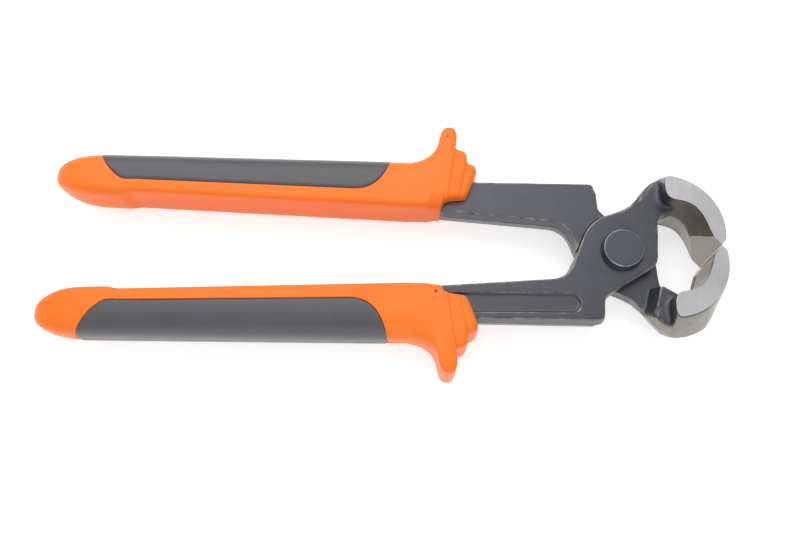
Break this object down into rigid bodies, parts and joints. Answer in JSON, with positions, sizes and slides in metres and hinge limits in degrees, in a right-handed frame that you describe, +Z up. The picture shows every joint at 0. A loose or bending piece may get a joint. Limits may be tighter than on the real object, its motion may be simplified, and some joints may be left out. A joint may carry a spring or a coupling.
{
  "type": "end cutting nippers",
  "caption": "End cutting nippers: lap-jointed forged levers with ground claw jaws on a flat-headed rivet, and moulded two-colour grips with finger guards.",
  "frame": {"origin": "middle of the bounding box, at the height of the lowest point, with the nippers lying on their side", "axes": "+X points from the handles to the jaws, +Y across the handles, +Z up, along the rivet"},
  "size_m": [0.203, 0.0772, 0.02],
  "materials": {
    "forged_steel": "satin black oxide, ground bare on the jaw sides and edges",
    "rivet_steel": "satin black oxide",
    "grip_orange": "satin",
    "inlay_grey": "satin"
  },
  "bodies": {
    "upper_jaw_side": {"upper_jaw_lever": "forged_steel", "joint_rivet": "rivet_steel", "lower_grip": "grip_orange", "lower_grip_inlay": "inlay_grey"},
    "lower_jaw_side": {"lower_jaw_lever": "forged_steel", "upper_grip": "grip_orange", "upper_grip_inlay": "inlay_grey"}
  },
  "joints": [
    {"name": "jaw_pivot", "type": "hinge", "parent": "upper_jaw_side", "child": "lower_jaw_side", "pos_m": [0.07103, 0, 0.01], "axis": [0, 0, -1], "range_deg": [0, 20]}
  ]
}
